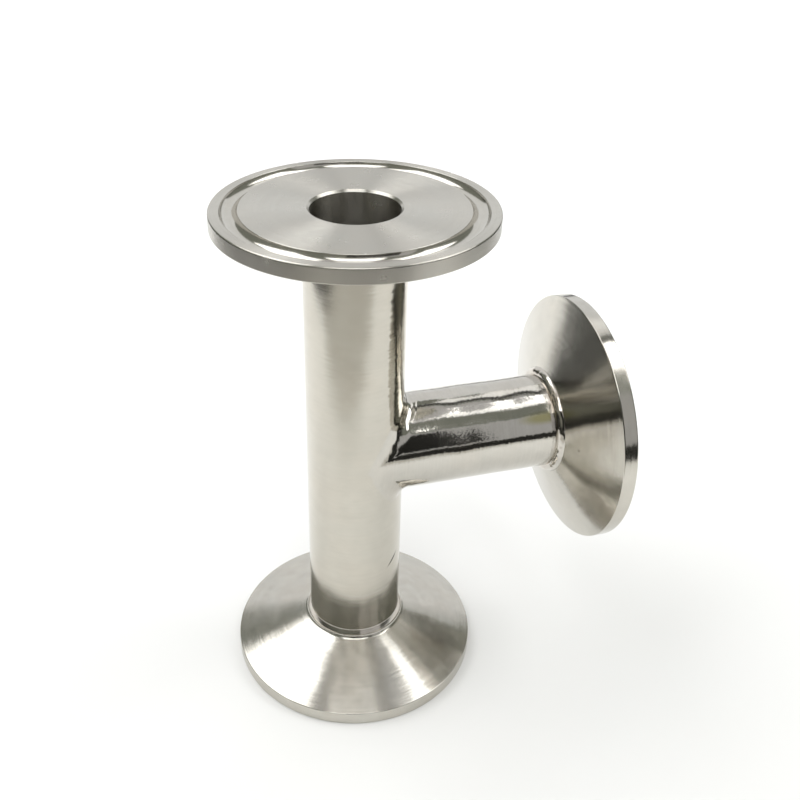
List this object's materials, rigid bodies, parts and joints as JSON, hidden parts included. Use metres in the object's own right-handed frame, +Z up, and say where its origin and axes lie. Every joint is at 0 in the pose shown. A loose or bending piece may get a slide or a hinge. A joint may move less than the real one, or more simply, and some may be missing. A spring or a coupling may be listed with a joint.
{
  "type": "clamp tee fitting",
  "caption": "Polished stainless steel tee: a straight run tube with clamp ferrules at both ends and a shorter side branch with a third clamp ferrule.",
  "frame": {"origin": "the centre of the bounding box, on the branch's axis and 11.475 mm out from the run tube's axis", "axes": "+Z up along the run tube, +X out along the branch, +Y away from a viewer who has the branch on the right"},
  "size_m": [0.0734, 0.0506, 0.101],
  "materials": {
    "satin_tube_steel": "stainless steel tube, satin polish with faint lengthwise bands and fine cross scratches",
    "mirror_tube_steel": "stainless steel tube, hand polished to a slightly wavy mirror",
    "turned_ferrule_steel": "turned stainless steel, fine concentric tool marks on the sealing face and on the conical back",
    "weld_steel": "stainless weld metal, ground and polished, with slight lumps"
  },
  "bodies": {
    "root": {"run_tube": "satin_tube_steel", "branch_tube": "mirror_tube_steel", "junction_weld": "weld_steel", "top_ferrule": "turned_ferrule_steel", "bottom_ferrule": "turned_ferrule_steel", "branch_ferrule": "turned_ferrule_steel", "top_ferrule_weld": "weld_steel", "bottom_ferrule_weld": "weld_steel", "branch_ferrule_weld": "weld_steel"}
  },
  "joints": []
}
